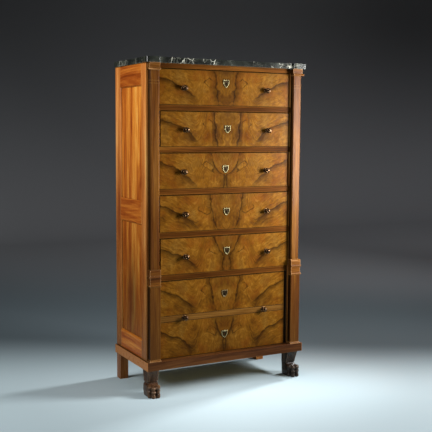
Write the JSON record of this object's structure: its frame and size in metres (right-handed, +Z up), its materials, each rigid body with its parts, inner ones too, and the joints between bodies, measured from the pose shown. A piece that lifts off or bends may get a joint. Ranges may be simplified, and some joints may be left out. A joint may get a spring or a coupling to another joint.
{
  "type": "semainier",
  "caption": "Tall narrow walnut chest of drawers with a grey marble top, applied pilasters, framed sides, one deep bottom drawer and carved lion-paw front feet.",
  "frame": {"origin": "on the floor under the middle of the chest's overall width and depth", "axes": "+Z up, the drawers open towards -Y, +X to the right of someone facing the drawers"},
  "size_m": [0.817, 0.401, 1.5],
  "materials": {
    "marble": "polished grey marble",
    "walnut_case": "polished walnut",
    "walnut_panels": "polished walnut",
    "walnut_fronts": "book-matched figured walnut veneer, polished",
    "walnut_rails": "polished walnut",
    "walnut_pilasters": "polished walnut",
    "carved_feet": "dark stained walnut",
    "oak_linings": "plain oak",
    "pine_boards": "plain pine",
    "bronze_knobs": "dark patinated bronze",
    "brass_fittings": "aged brass",
    "lock_steel": "steel"
  },
  "bodies": {
    "case": {"back_frame": "pine_boards", "back_panels": "pine_boards", "bottom_board": "pine_boards", "drawer_rails": "walnut_rails", "drawer_runners": "pine_boards", "drawer_stops": "oak_linings", "left_corner_post": "walnut_case", "left_paw_foot": "carved_feet", "left_pilaster": "walnut_pilasters", "left_pilaster_mouldings": "walnut_pilasters", "left_rear_post": "walnut_case", "left_side_panels": "walnut_panels", "left_side_rails": "walnut_case", "marble_top": "marble", "plinth": "walnut_case", "right_corner_post": "walnut_case", "right_paw_foot": "carved_feet", "right_pilaster": "walnut_pilasters", "right_pilaster_mouldings": "walnut_pilasters", "right_rear_post": "walnut_case", "right_side_panels": "walnut_panels", "right_side_rails": "walnut_case", "top_board": "pine_boards", "top_rail": "walnut_rails"},
    "drawer_1": {"drawer_1_front": "walnut_fronts", "drawer_1_linings": "oak_linings", "drawer_1_bottom": "oak_linings", "drawer_1_knobs": "bronze_knobs", "drawer_1_lock": "brass_fittings"},
    "drawer_1_lock_bolt": {"drawer_1_bolt": "lock_steel"},
    "drawer_2": {"drawer_2_front": "walnut_fronts", "drawer_2_linings": "oak_linings", "drawer_2_bottom": "oak_linings", "drawer_2_knobs": "bronze_knobs", "drawer_2_lock": "brass_fittings"},
    "drawer_2_lock_bolt": {"drawer_2_bolt": "lock_steel"},
    "drawer_3": {"drawer_3_front": "walnut_fronts", "drawer_3_linings": "oak_linings", "drawer_3_bottom": "oak_linings", "drawer_3_knobs": "bronze_knobs", "drawer_3_lock": "brass_fittings"},
    "drawer_3_lock_bolt": {"drawer_3_bolt": "lock_steel"},
    "drawer_4": {"drawer_4_front": "walnut_fronts", "drawer_4_linings": "oak_linings", "drawer_4_bottom": "oak_linings", "drawer_4_knobs": "bronze_knobs", "drawer_4_lock": "brass_fittings"},
    "drawer_4_lock_bolt": {"drawer_4_bolt": "lock_steel"},
    "drawer_5": {"drawer_5_front": "walnut_fronts", "drawer_5_linings": "oak_linings", "drawer_5_bottom": "oak_linings", "drawer_5_knobs": "bronze_knobs", "drawer_5_lock": "brass_fittings"},
    "drawer_5_lock_bolt": {"drawer_5_bolt": "lock_steel"},
    "deep_drawer": {"deep_drawer_front": "walnut_fronts", "deep_drawer_linings": "oak_linings", "deep_drawer_bottom": "oak_linings", "deep_drawer_knobs": "bronze_knobs", "deep_drawer_lock": "brass_fittings"},
    "deep_drawer_lock_bolt": {"deep_drawer_bolt": "lock_steel"}
  },
  "joints": [
    {"name": "drawer_1_slide", "type": "slide", "parent": "case", "child": "drawer_1", "axis": [0, -1, 0], "range_m": [0, 0.25]},
    {"name": "drawer_1_bolt_slide", "type": "slide", "parent": "drawer_1", "child": "drawer_1_lock_bolt", "axis": [0, 0, 1], "range_m": [0, 0.007]},
    {"name": "drawer_2_slide", "type": "slide", "parent": "case", "child": "drawer_2", "axis": [0, -1, 0], "range_m": [0, 0.25]},
    {"name": "drawer_2_bolt_slide", "type": "slide", "parent": "drawer_2", "child": "drawer_2_lock_bolt", "axis": [0, 0, 1], "range_m": [0, 0.007]},
    {"name": "drawer_3_slide", "type": "slide", "parent": "case", "child": "drawer_3", "axis": [0, -1, 0], "range_m": [0, 0.25]},
    {"name": "drawer_3_bolt_slide", "type": "slide", "parent": "drawer_3", "child": "drawer_3_lock_bolt", "axis": [0, 0, 1], "range_m": [0, 0.007]},
    {"name": "drawer_4_slide", "type": "slide", "parent": "case", "child": "drawer_4", "axis": [0, -1, 0], "range_m": [0, 0.25]},
    {"name": "drawer_4_bolt_slide", "type": "slide", "parent": "drawer_4", "child": "drawer_4_lock_bolt", "axis": [0, 0, 1], "range_m": [0, 0.007]},
    {"name": "drawer_5_slide", "type": "slide", "parent": "case", "child": "drawer_5", "axis": [0, -1, 0], "range_m": [0, 0.25]},
    {"name": "drawer_5_bolt_slide", "type": "slide", "parent": "drawer_5", "child": "drawer_5_lock_bolt", "axis": [0, 0, 1], "range_m": [0, 0.007]},
    {"name": "deep_drawer_slide", "type": "slide", "parent": "case", "child": "deep_drawer", "axis": [0, -1, 0], "range_m": [0, 0.25]},
    {"name": "deep_drawer_bolt_slide", "type": "slide", "parent": "deep_drawer", "child": "deep_drawer_lock_bolt", "axis": [0, 0, 1], "range_m": [0, 0.007]}
  ]
}
